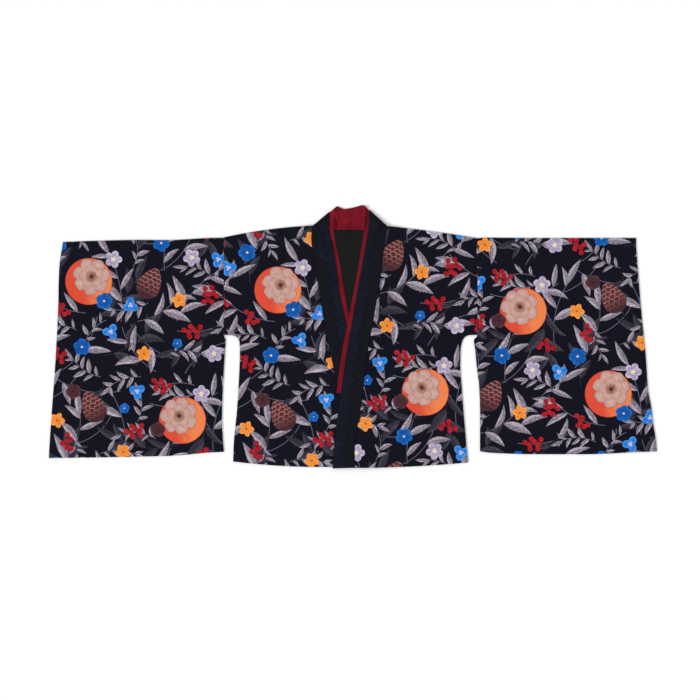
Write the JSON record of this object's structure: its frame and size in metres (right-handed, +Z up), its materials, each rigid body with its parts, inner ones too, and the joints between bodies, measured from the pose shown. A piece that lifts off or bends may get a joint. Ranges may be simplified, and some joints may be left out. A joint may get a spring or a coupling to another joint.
{
  "type": "kimono coat",
  "caption": "Short wrap-front kimono coat laid flat: wide square sleeves, sloped neckband with lace edge and contrast inner band, back lining shown at the neck.",
  "frame": {"origin": "on the table under the middle of the laid-out coat's bounding box", "axes": "+X to the viewer's right along the sleeves, +Y towards the neck, +Z up off the table"},
  "size_m": [1.4278, 0.6179, 0.0107],
  "materials": {
    "printed_cloth": "matte printed cotton, near-black navy ground with a leaf and blossom print",
    "lining": "plain black lining cloth",
    "neckband_cloth": "plain dark navy cotton, pressed",
    "inner_band_cloth": "plain dark red cotton, soft sheen",
    "lace": "black scalloped lace trim"
  },
  "bodies": {
    "root": {"back": "printed_cloth", "front_left": "printed_cloth", "front_right": "printed_cloth", "sleeve_left": "printed_cloth", "sleeve_right": "printed_cloth", "back_lining": "lining", "neckband": "neckband_cloth", "inner_band": "inner_band_cloth", "lace_left": "lace", "lace_right": "lace"}
  },
  "joints": []
}
